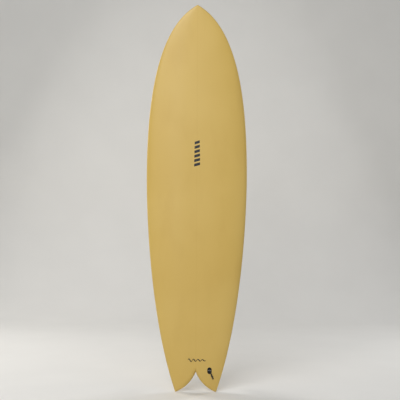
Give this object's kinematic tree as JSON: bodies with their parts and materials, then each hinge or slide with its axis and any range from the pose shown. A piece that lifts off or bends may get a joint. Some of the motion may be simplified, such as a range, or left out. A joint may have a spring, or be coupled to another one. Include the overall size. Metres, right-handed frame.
{
  "type": "surfboard",
  "caption": "Swallow-tail surfboard with wooden stringer, glassed foam core, removable canted fins screwed into boxes, and a leash plug with a cord loop.",
  "frame": {"origin": "floor point midway between the two tail tips, at mid thickness", "axes": "+Z runs from the tail tips to the nose tip; the deck faces -Y and the bottom and fins face +Y; +X is to the right seen from the deck side, where the leash plug is"},
  "size_m": [0.5586, 0.2244, 2.134],
  "materials": {
    "foam": "matte",
    "stringer_wood": "matte",
    "pigmented_resin": "satin",
    "dark_print": "satin",
    "pencil": "satin",
    "box_plastic": "satin",
    "fin_composite": "satin",
    "stainless": "satin",
    "plug_plastic": "satin",
    "cord": "matte"
  },
  "bodies": {
    "board": {"foam_left": "foam", "foam_right": "foam", "stringer": "stringer_wood", "deck_glass": "pigmented_resin", "bottom_glass": "pigmented_resin", "centre_mark": "dark_print", "tail_mark": "pencil", "fin_box_left": "box_plastic", "fin_box_right": "box_plastic", "leash_cup": "plug_plastic", "leash_bar": "stainless"},
    "left_fin": {"fin_left": "fin_composite"},
    "right_fin": {"fin_right": "fin_composite"},
    "left_front_screw": {"screw_left_front": "stainless"},
    "left_rear_screw": {"screw_left_rear": "stainless"},
    "right_front_screw": {"screw_right_front": "stainless"},
    "right_rear_screw": {"screw_right_rear": "stainless"},
    "cord": {"leash_cord": "cord"}
  },
  "joints": [
    {"name": "left_fin_slide", "type": "slide", "parent": "board", "child": "left_fin", "axis": [-0.0231, 0.9967, -0.0778], "range_m": [0, 0.025]},
    {"name": "right_fin_slide", "type": "slide", "parent": "board", "child": "right_fin", "axis": [0.0231, 0.9967, -0.0778], "range_m": [0, 0.025]},
    {"name": "left_front_screw_turn", "type": "hinge", "parent": "board", "child": "left_front_screw", "pos_m": [-0.13482, 0.03119, 0.2817], "axis": [0.4797, 0.8737, -0.0805], "range_deg": [0, 720]},
    {"name": "left_rear_screw_turn", "type": "hinge", "parent": "board", "child": "left_rear_screw", "pos_m": [-0.13662, 0.02539, 0.20795], "axis": [0.4797, 0.8737, -0.0805], "range_deg": [0, 720]},
    {"name": "right_front_screw_turn", "type": "hinge", "parent": "board", "child": "right_front_screw", "pos_m": [0.13482, 0.03119, 0.2817], "axis": [-0.4797, 0.8737, -0.0805], "range_deg": [0, 720]},
    {"name": "right_rear_screw_turn", "type": "hinge", "parent": "board", "child": "right_rear_screw", "pos_m": [0.13662, 0.02539, 0.20795], "axis": [-0.4797, 0.8737, -0.0805], "range_deg": [0, 720]},
    {"name": "cord_swing", "type": "hinge", "parent": "board", "child": "cord", "pos_m": [0.07606, -0.00027, 0.12017], "axis": [-0.9985, -0.0545, 0], "range_deg": [0, 90]}
  ]
}
